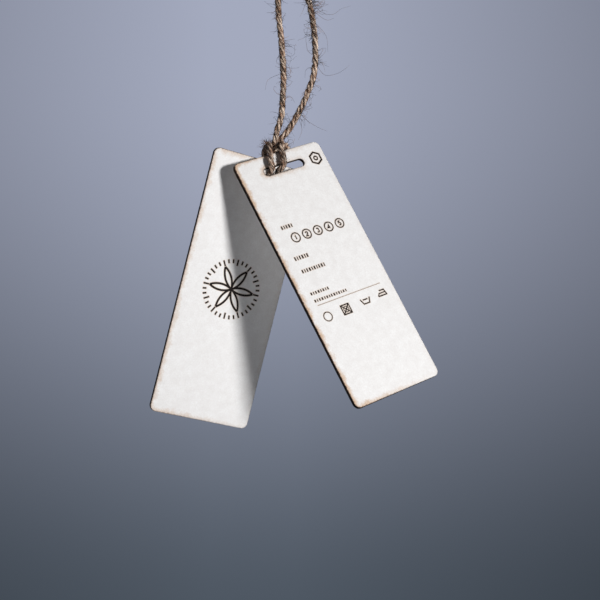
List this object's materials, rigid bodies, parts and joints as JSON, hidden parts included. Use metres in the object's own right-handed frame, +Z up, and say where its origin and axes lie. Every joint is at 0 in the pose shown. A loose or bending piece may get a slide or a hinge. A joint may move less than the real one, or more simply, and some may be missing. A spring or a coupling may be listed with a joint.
{
  "type": "paper id tag",
  "caption": "Pair of narrow board swing tags with slotted heads, hung from one jute twine by a lark's head hitch.",
  "frame": {"origin": "middle of the knot at the top of the twine, which the tags hang from", "axes": "+Z up, -Y towards the viewer of the tags' printed faces, +X to the viewer's right"},
  "size_m": [0.0914, 0.0365, 0.1622],
  "materials": {
    "white_board": "white matt face, laser-cut edges scorched dark brown",
    "jute_twine": "natural three-ply jute with loose fibres"
  },
  "bodies": {
    "twine": {"twine_left_leg": "jute_twine", "twine_right_leg": "jute_twine", "twine_top_knot": "jute_twine"},
    "hitch": {"twine_hitch": "jute_twine"},
    "front_tag": {"front_tag": "white_board"},
    "rear_tag": {"rear_tag": "white_board"}
  },
  "joints": [
    {"name": "hitch_swing", "type": "hinge", "parent": "twine", "child": "hitch", "pos_m": [-0.003, 0.0021, -0.0588], "axis": [1, 0, 0], "range_deg": [-30, 30]},
    {"name": "front_tag_fan", "type": "hinge", "parent": "hitch", "child": "front_tag", "pos_m": [-0.00421, -0.00104, -0.07138], "axis": [-0.4221, 0.8814, -0.2118], "range_deg": [-2, 16]},
    {"name": "rear_tag_fan", "type": "hinge", "parent": "hitch", "child": "rear_tag", "pos_m": [-0.00494, 0.00543, -0.07288], "axis": [-0.3953, 0.8685, 0.299], "range_deg": [-14, 10]}
  ]
}
